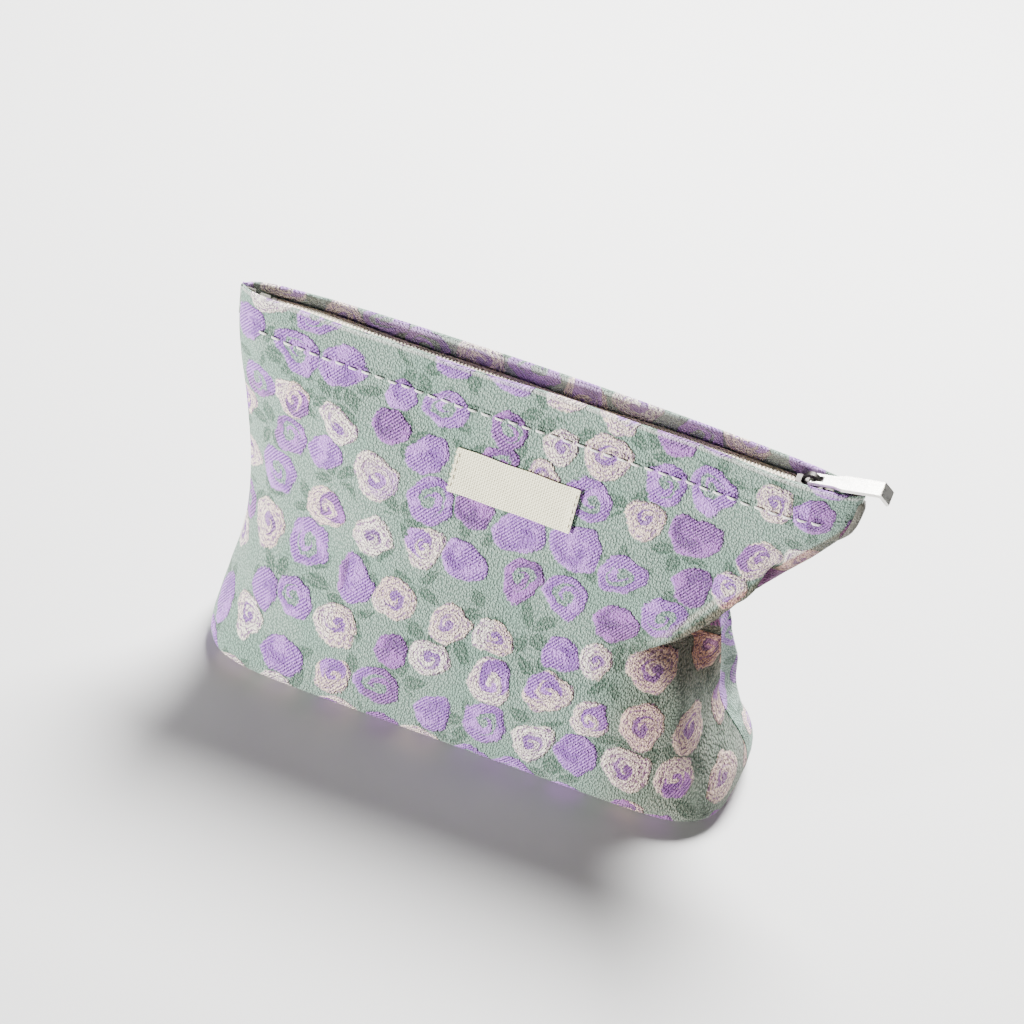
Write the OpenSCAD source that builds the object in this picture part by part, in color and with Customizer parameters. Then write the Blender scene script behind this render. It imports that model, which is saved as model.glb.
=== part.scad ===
// Soft zip-top makeup bag: a flat-topped, box-bottomed pouch of woven jacquard
// with an interlining, a plain lining, a recessed zip and a sewn-on label.
// Millimetres. +Z is up and +X runs along the zip towards its closed end.
// The origin is the middle of the base, on the surface that the bag stands on.

/* [Bag] */
// Width across the top edge, from side seam to side seam
top_w = 240; // [220:1:260]
// Height of the top edge above the base
bag_h = 150; // [145:1:158]
// Width of the lower body
base_w = 219; // [204:1:222]
// Depth of the lower body, front to back
base_d = 82; // [74:1:86]
// Distance of the left side seam from the middle, where it is drawn in
left_waist = 106; // [100:1:110]
// Distance of the right side seam from the middle, where it is pinched
right_waist = 89; // [84:1:100]
// Depth across the closed mouth, over both hems
mouth_d = 14; // [13.4:0.1:16]
// Radius of the roll between the walls and the base
roll_r = 9; // [8:0.5:12]

/* [Cloth] */
// Thickness of the outer jacquard
outer_t = 1.0; // [0.8:0.1:1.1]
// Thickness of the interlining
padding_t = 1.3; // [0.8:0.1:1.4]
// Thickness of the lining
lining_t = 0.4; // [0.3:0.1:0.5]
// Height of the hem, down to its row of stitches
hem_h = 12; // [11:0.5:13]

/* [Zip] */
// Height of the zip chain below the top edge
zip_drop = 4; // [4:0.1:4.6]
// Distance of the slider's centre from the middle of the zip, at either end
slider_reach = 100; // [97:1:101]
// Pitch of the teeth
tooth_pitch = 1.4; // [1.2:0.1:1.8]
// Length of the pull, from its pivot to its tip
pull_l = 30; // [28:1:34]
// Width of the pull
pull_w = 8.5; // [7:0.5:10]
// Rise of the pull from level where it rests over the end of the zip
pull_rise = 12; // [12:1:20]

/* [Label] */
// Width of the label
label_w = 48; // [40:1:52]
// Height of the label
label_h = 17; // [14:1:20]
// Sideways place of the label's centre
label_x = -1; // [-16:1:12]
// Height of the label's centre above the base
label_z = 114; // [108:1:120]

/* [Mouth] */
// Height of the fold line that each lip of the mouth swings about
fold_z = 58; // [54:1:62]
// Share of the width that swings with a lip
lip_share = 0.56; // [0.5:0.02:0.56]

/* [Hidden] */

ply_gap = 0.05;             // between one ply and the next
seam_half = 0.55;           // half of the slit that the side seam allowances stand in
cut_half = 0.3;             // half of the slit round a lip
facing_t = 0.7;
padding_in = outer_t + ply_gap;
padding_out = padding_in + padding_t;
lining_in = padding_out + ply_gap;
lining_out = lining_in + lining_t;
facing_in = outer_t + ply_gap;
facing_out = facing_in + facing_t;

hem_z = bag_h - hem_h - 0.5;    // lower edge of the facing
ply_top = hem_z - 2;            // upper edge of the interlining and the lining
stitch_z = bag_h - hem_h;
cut_u = cut_half / (top_w / 2);

// Half width at the side seams, half depth in the middle, and the two powers that shape a section
// from a rounded box at the base to a pointed lens at the waist and a slot at the mouth.
left_width = [[0, base_w / 2 - 0.5], [0.12 * bag_h, base_w / 2], [0.30 * bag_h, left_waist],
    [0.48 * bag_h, left_waist + 1], [0.67 * bag_h, (left_waist + top_w / 2) / 2 - 1],
    [0.86 * bag_h, top_w / 2 - 1.5], [bag_h, top_w / 2]];
right_width = [[0, base_w / 2 - 0.5], [0.11 * bag_h, base_w / 2],
    [0.27 * bag_h, (right_waist + base_w / 2) / 2 - 1.5], [0.43 * bag_h, right_waist + 3.5],
    [0.58 * bag_h, right_waist], [0.72 * bag_h, (right_waist + top_w / 2) / 2 - 3],
    [0.87 * bag_h, top_w / 2 - 3], [bag_h, top_w / 2]];
half_depth = [[0, base_d / 2 - 0.5], [0.10 * bag_h, base_d / 2], [0.27 * bag_h, base_d / 2 - 3],
    [0.41 * bag_h, base_d / 2 - 8.5], [0.56 * bag_h, base_d / 2 - 15.5],
    [0.78 * bag_h, mouth_d / 2 + 9], [bag_h, mouth_d / 2]];
power_in = [[0, 12], [0.12 * bag_h, 5.2], [0.27 * bag_h, 3.9], [0.41 * bag_h, 3], [0.56 * bag_h, 3.2],
    [0.78 * bag_h, 5], [bag_h, 15]];
power_out = [[0, 0.25], [0.12 * bag_h, 0.48], [0.27 * bag_h, 0.62], [0.41 * bag_h, 0.8],
    [0.56 * bag_h, 0.88], [0.78 * bag_h, 0.8], [bag_h, 0.6]];

// Columns across half a panel, and rows up its wall; a slit runs between the paired values.
half_columns = [0.2, 0.4, lip_share - cut_u, lip_share + cut_u, 0.69, 0.8, 0.88, 0.94, 0.98, 1];
columns = concat([for (i = [len(half_columns) - 1 : -1 : 0]) -half_columns[i]], [0], half_columns);
base_rows = [0, 0.4, 0.75];
roll_rows = [0, 30, 60, 90];
wall_rows = [16, 26, 38, 49, fold_z - cut_half, fold_z + cut_half, 68, 80, 92, 104, 120,
    ply_top, hem_z, bag_h];
rows = concat([for (s = base_rows) [0, s]], [for (a = roll_rows) [1, a]], [for (z = wall_rows) [2, z]]);
row_of_wall = len(base_rows);
row_of_fold = len(base_rows) + len(roll_rows) + 4;
row_of_ply_top = len(rows) - 3;
row_of_hem = len(rows) - 2;
row_of_top = len(rows) - 1;

zip_z = bag_h - zip_drop;
tape_t = 0.4;
tape_room = 0.7;            // between the tape and the facing
tape_edge = 1.9;            // from the middle of the chain to the edge of the tape
tooth_root = 1.2;
tooth_tip = 0.4;
tooth_h = 1.6;
chain_end = slider_reach + 5;
lip_end = lip_share * top_w / 2 - 2;
fixed_start = lip_end + 2.6;
tape_end = slider_reach + 8.5;
stop_x = slider_reach + 6.3;
stop_l = 2;

slider_l = 11;
slider_w = 6.8;
plate_t = 1.0;
plate_gap = 2.4;            // between the two plates, round the chain
web_w = 0.5;                // the post that joins the plates
bridge_w = 2.2;
bridge_r = 3.6;
bridge_hole_r = 2.4;
plate_top = zip_z + plate_gap / 2 + plate_t;
pivot_z = plate_top + 1.2;
bar_r = 0.8;
pull_t = 1.2;
pull_neck = 6.2;
eye_w = 3.4;
eye_l = 4.3;
bend_at = 25.5;
bend_angle = 50;

stitch_pitch = 5.2;
stitch_l = 3.3;
stitch_t = 0.5;
lift = 0.08;                // of stitches and label above the cloth

// Smooth curve through [z, value] pairs.
function span(k, z, i = 0) = i >= len(k) - 2 || z <= k[i + 1][0] ? i : span(k, z, i + 1);
function slope(k, i) =
    let (a = max(i - 1, 0), b = min(i + 1, len(k) - 1))
    (k[b][1] - k[a][1]) / (k[b][0] - k[a][0]);
function along(k, z) =
    let (i = span(k, z), h = k[i + 1][0] - k[i][0], s = (z - k[i][0]) / h,
        s2 = s * s, s3 = s2 * s)
    (2 * s3 - 3 * s2 + 1) * k[i][1] + (s3 - 2 * s2 + s) * h * slope(k, i)
        + (3 * s2 - 2 * s3) * k[i + 1][1] + (s3 - s2) * h * slope(k, i + 1);
function half_width(u, z) = along(u < 0 ? left_width : right_width, z);
// How far back a panel stands at share u of its width, as a share of its depth.
function bow(u, z) = pow(max(0, 1 - pow(abs(u), along(power_in, z))), along(power_out, z));

// A point of the front panel: column share u, row [kind, value], depth t inside the outer face.
function panel_point(u, row, t) =
    row[0] == 2
        ? [(half_width(u, row[1]) - t) * u,
            -max(seam_half, (along(half_depth, row[1]) - t) * bow(u, row[1])), row[1]]
        : let (a = row[0] == 1 ? row[1] : 0, share = row[0] == 0 ? row[1] : 1,
            inset = roll_r - (roll_r - t) * sin(a), z = roll_r - (roll_r - t) * cos(a))
        [(half_width(u, z) - inset) * u,
            -ply_gap - share * (max(seam_half, (along(half_depth, z) - inset) * bow(u, z)) - ply_gap), z];

// Front surface at a given x and z, depth t inside the outer face.
function front_y(x, z, t) =
    -max(seam_half, (along(half_depth, z) - t) * bow(x / (half_width(x, z) - t), z));

// Which columns and rows belong to a lip and to the slit round it.
function mid_u(i) = abs(columns[i] + columns[i + 1]) / 2;
function in_lip(i, j) = mid_u(i) < lip_share - cut_u && j > row_of_fold;
function in_slit(i, j) = mid_u(i) < lip_share + cut_u && j >= row_of_fold && !in_lip(i, j);
function in_part(part, i, j, j0, j1) =
    i >= 0 && i < len(columns) - 1 && j >= j0 && j < j1
        && (part == "lip" ? in_lip(i, j) : !in_lip(i, j) && !in_slit(i, j));

// A closed sheet over the chosen cells of the panel's grid, between two depths.
module ply(part, t0, t1, j0, j1) {
    n = len(columns);
    m = len(rows);
    points = [for (t = [t0, t1]) for (j = [0 : m - 1]) for (i = [0 : n - 1])
        panel_point(columns[i], rows[j], t)];
    inner = n * m;
    faces = [for (j = [j0 : j1 - 1]) for (i = [0 : n - 2]) if (in_part(part, i, j, j0, j1))
        let (a = j * n + i, b = a + n, c = b + 1, d = a + 1,
            edges = [[a, b, in_part(part, i - 1, j, j0, j1)], [b, c, in_part(part, i, j + 1, j0, j1)],
                [c, d, in_part(part, i + 1, j, j0, j1)], [d, a, in_part(part, i, j - 1, j0, j1)]])
        each concat([[a, b, c], [a, c, d]],
            [[a + inner, c + inner, b + inner], [a + inner, d + inner, c + inner]],
            [for (e = edges) if (!e[2])
                each [[e[1], e[0], e[0] + inner], [e[1], e[0] + inner, e[1] + inner]]])];
    polyhedron(points, faces);
}

// A closed bar through cross-sections that all have the same number of points.
module sweep(sections) {
    n = len(sections[0]);
    m = len(sections);
    points = [for (s = sections) each s];
    sides = [for (k = [0 : m - 2]) for (i = [0 : n - 1])
        let (a = k * n + i, b = k * n + (i + 1) % n, c = b + n, d = a + n)
        each [[a, b, c], [a, c, d]]];
    caps = [for (i = [1 : n - 2])
        each [[0, i + 1, i], [(m - 1) * n, (m - 1) * n + i, (m - 1) * n + i + 1]]];
    polyhedron(points, concat(sides, caps));
}

module to_back() { mirror([0, 1, 0]) children(); }
module both_ends() { children(); mirror([1, 0, 0]) children(); }
module front_and_back() { children(); to_back() children(); }

// Side seam allowances, standing in the slit between the two panels.
module side_seam(side) {
    allowance = 5;
    half = seam_half - 0.1;
    levels = [18, 30, 42, 54, 64, 74, 84, 92, 100, 108, 118, 130, bag_h - 1];
    sweep([for (z = levels) let (x = side * (half_width(side, z) - 0.4), y = side * half)
        [[x - side * allowance, -y, z], [x - side * allowance, y, z], [x, y, z], [x, -y, z]]]);
}

// Base panel, a flat piece with the outline that the walls roll in to.
module base_panel() {
    gap = 0.1;
    shrink = 1 - gap / (base_d / 2 - roll_r);
    edge = [for (u = columns) let (p = panel_point(u, [1, 0], 0)) [p[0], p[1]] * shrink];
    n = len(edge);
    color("#b4a5cf") linear_extrude(outer_t)
        polygon(concat(edge, [for (i = [n - 1 : -1 : 0]) [edge[i][0], -edge[i][1]]]));
}

// Half of the zip tape: level from the chain to the facing, then down behind the hem.
function tape_section(x) =
    let (top = zip_z + tape_t / 2, low = zip_z - tape_t / 2, foot = hem_z + 0.5,
        back_y = front_y(x, top, facing_out + tape_room), foot_y = front_y(x, foot, facing_out + tape_room))
    [[x, -tape_edge, top], [x, back_y, top], [x, foot_y, foot],
        [x, foot_y + tape_t, foot], [x, back_y + tape_t, low], [x, -tape_edge, low]];
module tape(x0, x1, steps) {
    sweep([for (k = [0 : steps]) tape_section(x0 + (x1 - x0) * k / steps)]);
}

// One half of the chain: a comb whose teeth reach towards the other half.
module comb(x0, x1, shift) {
    first = ceil((x0 + 0.5 - shift) / tooth_pitch);
    last = floor((x1 - 0.5 - shift) / tooth_pitch);
    w = tooth_pitch * 0.24;
    teeth = [for (k = [first : last]) let (x = k * tooth_pitch + shift)
        each [[x - w, -tooth_root], [x - w, -tooth_tip], [x + w, -tooth_tip], [x + w, -tooth_root]]];
    translate([0, 0, zip_z - tooth_h / 2]) linear_extrude(tooth_h)
        polygon(concat([[x0, -tape_edge + 0.02], [x0, -tooth_root]], teeth,
            [[x1, -tooth_root], [x1, -tape_edge + 0.02]]));
}

// One stitch lying on the front panel at x, z.
module stitch(x, z, proud = 0) {
    turn = atan2(front_y(x + 1, z, 0) - front_y(x - 1, z, 0), 2);
    translate([x, front_y(x, z, 0) - lift - stitch_t - 0.12 - proud, z - stitch_t / 2]) rotate([0, 0, turn])
        translate([-stitch_l / 2, 0, 0]) cube([stitch_l, stitch_t, stitch_t]);
}
module stitch_row(first, last) {
    for (k = [first : last]) stitch(k * stitch_pitch, stitch_z);
}
lip_stitches = floor((lip_end - stitch_l) / stitch_pitch);
end_stitches = floor((top_w / 2 - 10) / stitch_pitch);

module facing(part) { color("#a9bdb0") ply(part, facing_in, facing_out, row_of_hem, row_of_top); }
module outer(part) { color("#b4a5cf") ply(part, 0, outer_t, row_of_wall, row_of_top); }
module padding(part) { color("#f2f0ea") ply(part, padding_in, padding_out, 0, row_of_ply_top); }
module lining(part) { color("#e8e0cf") ply(part, lining_in, lining_out, 0, row_of_ply_top); }

module outer_front() { outer("fixed"); }
module outer_back() { to_back() outer("fixed"); }
module padding_front() { padding("fixed"); }
module padding_back() { to_back() padding("fixed"); }
module lining_front() { lining("fixed"); }
module lining_back() { to_back() lining("fixed"); }
module outer_front_lip() { outer("lip"); }
module outer_back_lip() { to_back() outer("lip"); }
module padding_front_lip() { padding("lip"); }
module padding_back_lip() { to_back() padding("lip"); }
module lining_front_lip() { lining("lip"); }
module lining_back_lip() { to_back() lining("lip"); }
module facing_front() { facing("lip"); }
module facing_back() { to_back() facing("lip"); }
module facing_front_ends() { facing("fixed"); }
module facing_back_ends() { to_back() facing("fixed"); }

module side_seam_right() { color("#a9bdb0") side_seam(1); }
module side_seam_left() { color("#a9bdb0") side_seam(-1); }

module zip_tape_front() { color("#d9cdb8") tape(-lip_end, lip_end, 8); }
module zip_tape_back() { color("#d9cdb8") to_back() tape(-lip_end, lip_end, 8); }
module zip_tape_ends() { color("#d9cdb8") front_and_back() both_ends() tape(fixed_start, tape_end, 8); }
module zip_teeth_front() { color("#cfc3ad") comb(-lip_end, lip_end, 0); }
module zip_teeth_back() { color("#cfc3ad") to_back() comb(-lip_end, lip_end, tooth_pitch / 2); }
module zip_teeth_ends() {
    color("#cfc3ad") both_ends() {
        comb(fixed_start, chain_end, 0);
        to_back() comb(fixed_start, chain_end, tooth_pitch / 2);
    }
}
// Metal stops that close the chain: one on each tape at the closed end, one across both at the other.
module zip_top_stops() {
    color("silver") front_and_back() translate([stop_x, -1.85, zip_z - 0.9]) cube([stop_l, 1.3, 1.8]);
}
module zip_bottom_stop() {
    color("silver") translate([-stop_x - stop_l, -1.85, zip_z - 0.9]) cube([stop_l, 3.7, 1.8]);
}
// Folded tabs that the ends of the tape are sewn into.
module zip_end_tab() {
    start = tape_end + 0.2;
    translate([start, -1, zip_z - 7]) cube([top_w / 2 - 7.5 - start, 2, 9]);
}
module zip_end_tab_right() { color("#a9bdb0") zip_end_tab(); }
module zip_end_tab_left() { color("#a9bdb0") mirror([1, 0, 0]) zip_end_tab(); }

module topstitch_front() { color("white") stitch_row(-lip_stitches, lip_stitches); }
module topstitch_back() { color("white") to_back() stitch_row(-lip_stitches, lip_stitches); }
module topstitch_ends() {
    color("white") front_and_back() both_ends() stitch_row(lip_stitches + 2, end_stitches);
}

// Woven label, following the front panel.
module label() {
    t = 0.6;
    xs = [for (k = [-4 : 4]) label_x + label_w / 2 * k / 4];
    zs = [for (k = [-2 : 2]) label_z + label_h / 2 * k / 2];
    color("#ece6d4") sweep([for (x = xs) concat(
        [for (z = zs) [x, front_y(x, z, 0) - lift - t - 0.1, z]],
        [for (k = [len(zs) - 1 : -1 : 0]) [x, front_y(x, zs[k], 0) - lift - 0.1, zs[k]]])]);
}
// Stitches that hold the label down at its two ends.
module label_stitches() {
    rows_up = 3;
    color("white") for (side = [-1, 1]) for (k = [-rows_up : rows_up]) {
        x = label_x + side * (label_w / 2 - 1.6);
        z = label_z + k * label_h / (2 * rows_up + 2);
        lean = atan2(front_y(x, z + 1, 0) - front_y(x, z - 1, 0), 2);
        translate([x, front_y(x, z, 0) - lift - 1.1, z]) rotate([-lean, 0, 0])
            cube([stitch_t, 0.25, 1.5], center = true);
    }
}

// Slider: two plates round the chain, joined by a thin post at the leading end.
module slider_body() {
    w = slider_w / 2;
    l = slider_l / 2;
    outline = [[-l, -w + 1.4], [-l + 1.2, -w + 0.7], [l - 3, -w], [l - 1, -w + 0.5], [l, -w + 1.6],
        [l, w - 1.6], [l - 1, w - 0.5], [l - 3, w], [-l + 1.2, w - 0.7], [-l, w - 1.4]];
    color("gray") translate([slider_reach, 0, zip_z]) {
        for (z = [plate_gap / 2, -plate_gap / 2 - plate_t])
            translate([0, 0, z]) linear_extrude(plate_t) polygon(outline);
        translate([l - 2.2, -web_w / 2, -plate_gap / 2 - plate_t / 2])
            cube([1.8, web_w, plate_gap + plate_t]);
    }
}
// Bridge on the slider that the pull hangs on.
module slider_bridge() {
    color("gray") translate([slider_reach, bridge_w / 2, plate_top]) rotate([90, 0, 0])
        linear_extrude(bridge_w) difference() {
            circle(bridge_r, $fn = 48);
            circle(bridge_hole_r, $fn = 48);
            translate([-bridge_r - 1, -2 * bridge_r]) square([2 * bridge_r + 2, 2 * bridge_r]);
        }
}

// Pull: a flat strip with an eye for the bridge, bent down near its tip.
module pull_tab() {
    neck = pull_neck / 2;
    half = pull_w / 2;
    color("silver") translate([slider_reach, 0, pivot_z]) rotate([0, -pull_rise, 0]) {
        translate([0, 0, -pull_t / 2]) linear_extrude(pull_t) difference() {
            polygon([[0, -neck], [8.5, -neck], [11.5, -half], [bend_at, -half],
                [bend_at, half], [11.5, half], [8.5, neck], [0, neck]]);
            translate([-1, -eye_w / 2]) square([eye_l + 1, eye_w]);
        }
        rotate([90, 0, 0]) cylinder(r = bar_r, h = pull_neck, center = true, $fn = 32);
        translate([bend_at, 0, 0]) rotate([0, bend_angle, 0])
            translate([-0.3, -half, -pull_t / 2]) cube([pull_l - bend_at + 0.3, pull_w, pull_t]);
    }
}

base_panel();
outer_front();
outer_back();
padding_front();
padding_back();
lining_front();
lining_back();
side_seam_left();
side_seam_right();
facing_front_ends();
facing_back_ends();
zip_tape_ends();
zip_teeth_ends();
zip_top_stops();
zip_bottom_stop();
zip_end_tab_left();
zip_end_tab_right();
topstitch_ends();
outer_front_lip();
padding_front_lip();
lining_front_lip();
facing_front();
zip_tape_front();
zip_teeth_front();
topstitch_front();
label();
label_stitches();
outer_back_lip();
padding_back_lip();
lining_back_lip();
facing_back();
zip_tape_back();
zip_teeth_back();
topstitch_back();
slider_body();
slider_bridge();
pull_tab();
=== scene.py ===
"""Looks of the makeup bag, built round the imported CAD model. Metres, +Z up, front panel towards -Y."""

from math import cos, pi, radians, sin, sqrt

import bpy
import numpy as np
from mathutils import Matrix, Vector


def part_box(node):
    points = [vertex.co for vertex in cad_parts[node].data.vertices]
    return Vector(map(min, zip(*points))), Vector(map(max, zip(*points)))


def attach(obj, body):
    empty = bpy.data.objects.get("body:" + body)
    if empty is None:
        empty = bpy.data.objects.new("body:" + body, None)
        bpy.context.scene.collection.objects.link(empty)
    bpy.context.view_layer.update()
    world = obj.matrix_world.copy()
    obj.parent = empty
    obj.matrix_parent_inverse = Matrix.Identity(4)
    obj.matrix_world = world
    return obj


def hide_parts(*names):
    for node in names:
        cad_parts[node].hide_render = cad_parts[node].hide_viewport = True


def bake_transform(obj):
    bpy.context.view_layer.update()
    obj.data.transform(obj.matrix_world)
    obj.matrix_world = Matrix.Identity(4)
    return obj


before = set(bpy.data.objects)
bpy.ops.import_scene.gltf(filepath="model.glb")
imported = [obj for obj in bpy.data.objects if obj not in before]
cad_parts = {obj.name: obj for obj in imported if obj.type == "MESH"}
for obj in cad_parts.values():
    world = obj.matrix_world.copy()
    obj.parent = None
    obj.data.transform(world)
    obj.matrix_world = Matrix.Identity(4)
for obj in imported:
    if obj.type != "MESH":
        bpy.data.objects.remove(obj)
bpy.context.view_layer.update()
MM = 0.001

# ---------------------------------------------------------------- camera, lights and world


def look_from(azimuth, elevation, roll, distance, target, lens):
    a, e, r = radians(azimuth), radians(elevation), radians(roll)
    back = Vector((sin(a) * cos(e), -cos(a) * cos(e), sin(e)))
    right = Vector((cos(a), sin(a), 0))
    up = back.cross(right)
    camera = bpy.data.objects.new("camera", bpy.data.cameras.new("camera"))
    bpy.context.scene.collection.objects.link(camera)
    x = right * cos(r) + up * sin(r)
    y = -right * sin(r) + up * cos(r)
    turn = Matrix((x, y, back)).transposed().to_4x4()
    camera.matrix_world = Matrix.Translation(Vector(target) + back * distance) @ turn
    camera.data.lens = lens
    camera.data.clip_end = 20
    bpy.context.scene.camera = camera


look_from(azimuth=11.4, elevation=38, roll=12.2, distance=1.06, target=(-0.0034, 0, 0.0904), lens=100)


def area_light(name, place, aim, size, power, colour=(1, 1, 1)):
    light = bpy.data.objects.new(name, bpy.data.lights.new(name, "AREA"))
    bpy.context.scene.collection.objects.link(light)
    light.data.shape = "DISK"
    light.data.size = size
    light.data.energy = power
    light.data.color = colour
    light.location = place
    light.rotation_euler = (Vector(aim) - Vector(place)).to_track_quat("-Z", "Y").to_euler()


# Key from high behind, a broad card behind for the metal, and low soft light from the front left.
area_light("key", (0.03, 0.78, 1.16), (0, 0, 0.06), 0.60, 128, (1, 0.99, 0.97))
area_light("card", (-0.5, 2.3, 1.5), (0, 0, 0.1), 2.0, 30)
area_light("fill", (-1.8, -1.88, 0.16), (0, 0, 0.09), 0.30, 240, (1, 0.985, 0.95))
world = bpy.data.worlds.new("studio")
world.use_nodes = True
world.node_tree.nodes["Background"].inputs["Color"].default_value = (0.97, 0.98, 1, 1)
world.node_tree.nodes["Background"].inputs["Strength"].default_value = 0.045
bpy.context.scene.world = world

# ---------------------------------------------------------------- node graphs


class Graph:
    """A material's node tree, written as arithmetic."""

    def __init__(self, name):
        self.material = bpy.data.materials.new(name)
        self.material.use_nodes = True
        self.tree = self.material.node_tree
        self.shader = self.tree.nodes["Principled BSDF"]

    def node(self, kind, inputs=(), **settings):
        n = self.tree.nodes.new(kind)
        for key, value in settings.items():
            setattr(n, key, value)
        for key, value in dict(inputs).items():
            self.plug(n.inputs[key], value)
        return n

    def plug(self, socket, value):
        if isinstance(value, bpy.types.NodeSocket):
            self.tree.links.new(value, socket)
        elif value is not None:
            socket.default_value = value

    def math(self, op, a, b=None, c=None, clamp=False):
        n = self.node("ShaderNodeMath", operation=op, use_clamp=clamp)
        for socket, value in zip(n.inputs, (a, b, c)):
            self.plug(socket, value)
        return n.outputs[0]

    def mul(self, a, b, clamp=False):
        return self.math("MULTIPLY", a, b, clamp=clamp)

    def add(self, a, b):
        return self.math("ADD", a, b)

    def sub(self, a, b):
        return self.math("SUBTRACT", a, b)

    def mad(self, a, b, c):
        """a times b, plus c."""
        return self.math("MULTIPLY_ADD", a, b, c)

    def sine(self, a):
        return self.math("SINE", a)

    def rest(self, share):
        """What is left of 1."""
        return self.sub(1.0, share)

    def vector(self, op, a, b=None, scale=None):
        n = self.node("ShaderNodeVectorMath", operation=op)
        self.plug(n.inputs[0], a)
        self.plug(n.inputs[1], b)
        if scale is not None:
            self.plug(n.inputs["Scale"], scale)
        return n.outputs["Value" if op in ("LENGTH", "DOT_PRODUCT") else "Vector"]

    def shift(self, a, b):
        return self.vector("ADD", a, b)

    def apart(self, a, b):
        return self.vector("SUBTRACT", a, b)

    def step(self, value, low, high):
        """0 below low, 1 above high, smooth between."""
        n = self.node("ShaderNodeMapRange", interpolation_type="SMOOTHSTEP")
        for key, v in (("Value", value), ("From Min", low), ("From Max", high)):
            self.plug(n.inputs[key], v)
        return n.outputs[0]

    def mix(self, share, a, b):
        n = self.node("ShaderNodeMix", data_type="RGBA")
        self.plug(n.inputs[0], share)
        self.plug(n.inputs[6], a)
        self.plug(n.inputs[7], b)
        return n.outputs[2]

    def split(self, vector):
        return self.node("ShaderNodeSeparateXYZ", {0: vector}).outputs

    def join(self, x, y, z=0.0):
        return self.node("ShaderNodeCombineXYZ", {0: x, 1: y, 2: z}).outputs[0]

    def noise(self, vector, scale, detail=2.0, colour=False):
        n = self.node("ShaderNodeTexNoise", {"Vector": vector, "Scale": scale, "Detail": detail})
        return n.outputs["Color" if colour else "Fac"]

    def cloth(self):
        """Place on the flat cloth, in millimetres."""
        uv = self.node("ShaderNodeUVMap", uv_map="cloth").outputs[0]
        return self.vector("SCALE", uv, scale=1000.0)

    def place(self):
        """Place in the object, in millimetres."""
        return self.vector("SCALE", self.node("ShaderNodeTexCoord").outputs["Object"], scale=1000.0)

    def bump(self, height, distance, strength=1.0):
        n = self.node("ShaderNodeBump", {"Height": height, "Distance": distance, "Strength": strength})
        self.tree.links.new(n.outputs[0], self.shader.inputs["Normal"])

    def finish(self, colour, **sockets):
        self.plug(self.shader.inputs["Base Color"], colour)
        for key, value in sockets.items():
            self.plug(self.shader.inputs[key.replace("_", " ")], value)
        return self.material


def rgb(r, g, b):
    """A display colour as the linear one the shader wants."""
    def linear(c):
        return c / 255 / 12.92 if c < 10 else ((c / 255 + 0.055) / 1.055) ** 2.4

    return linear(r), linear(g), linear(b), 1.0


SAGE, SAGE_DARK, LEAF = rgb(136, 160, 147), rgb(101, 125, 114), rgb(56, 86, 70)
PURPLE_LIGHT, PURPLE, PURPLE_DARK = rgb(194, 132, 230), rgb(112, 52, 154), rgb(80, 30, 108)
CREAM, PINK, MAUVE = rgb(255, 248, 232), rgb(248, 208, 184), rgb(156, 112, 180)
TURN = 6.283            # a full turn in radians
PER_RADIAN = 0.15915    # turns to a radian

# ---------------------------------------------------------------- materials

# The repeat of the jacquard, in mm on the flat cloth.
ROSE_PITCH = 19.9       # from one rose to the next
SPRAY_PITCH = 23.0      # from one spray of leaves to the next
RIB_PITCH = 1.12        # satin ribs
LOOP_PITCH = 1.45       # chains of raised loops
GRAIN_PITCH = 0.95      # grains of the crepe
REPEAT_AT = (95.0, 31.0, 0.0)   # where in the repeat the cloth is cut
LEAVES = 5              # to a spray
TWIST_PITCH = 0.45      # twist of the sewing thread


def grain_of(g, place, flat=True):
    """Crepe grain: rounded grains a millimetre across, 0 in the cracks between them and 1 on top."""
    stretched = g.vector("MULTIPLY", place, (1.15, 0.85, 1.0))
    cells = {"Vector": stretched, "Scale": 1 / GRAIN_PITCH, "Randomness": 0.95}
    n = g.node("ShaderNodeTexVoronoi", cells, voronoi_dimensions="2D" if flat else "3D")
    return g.rest(g.step(n.outputs["Distance"], 0.10, 0.70))


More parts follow.
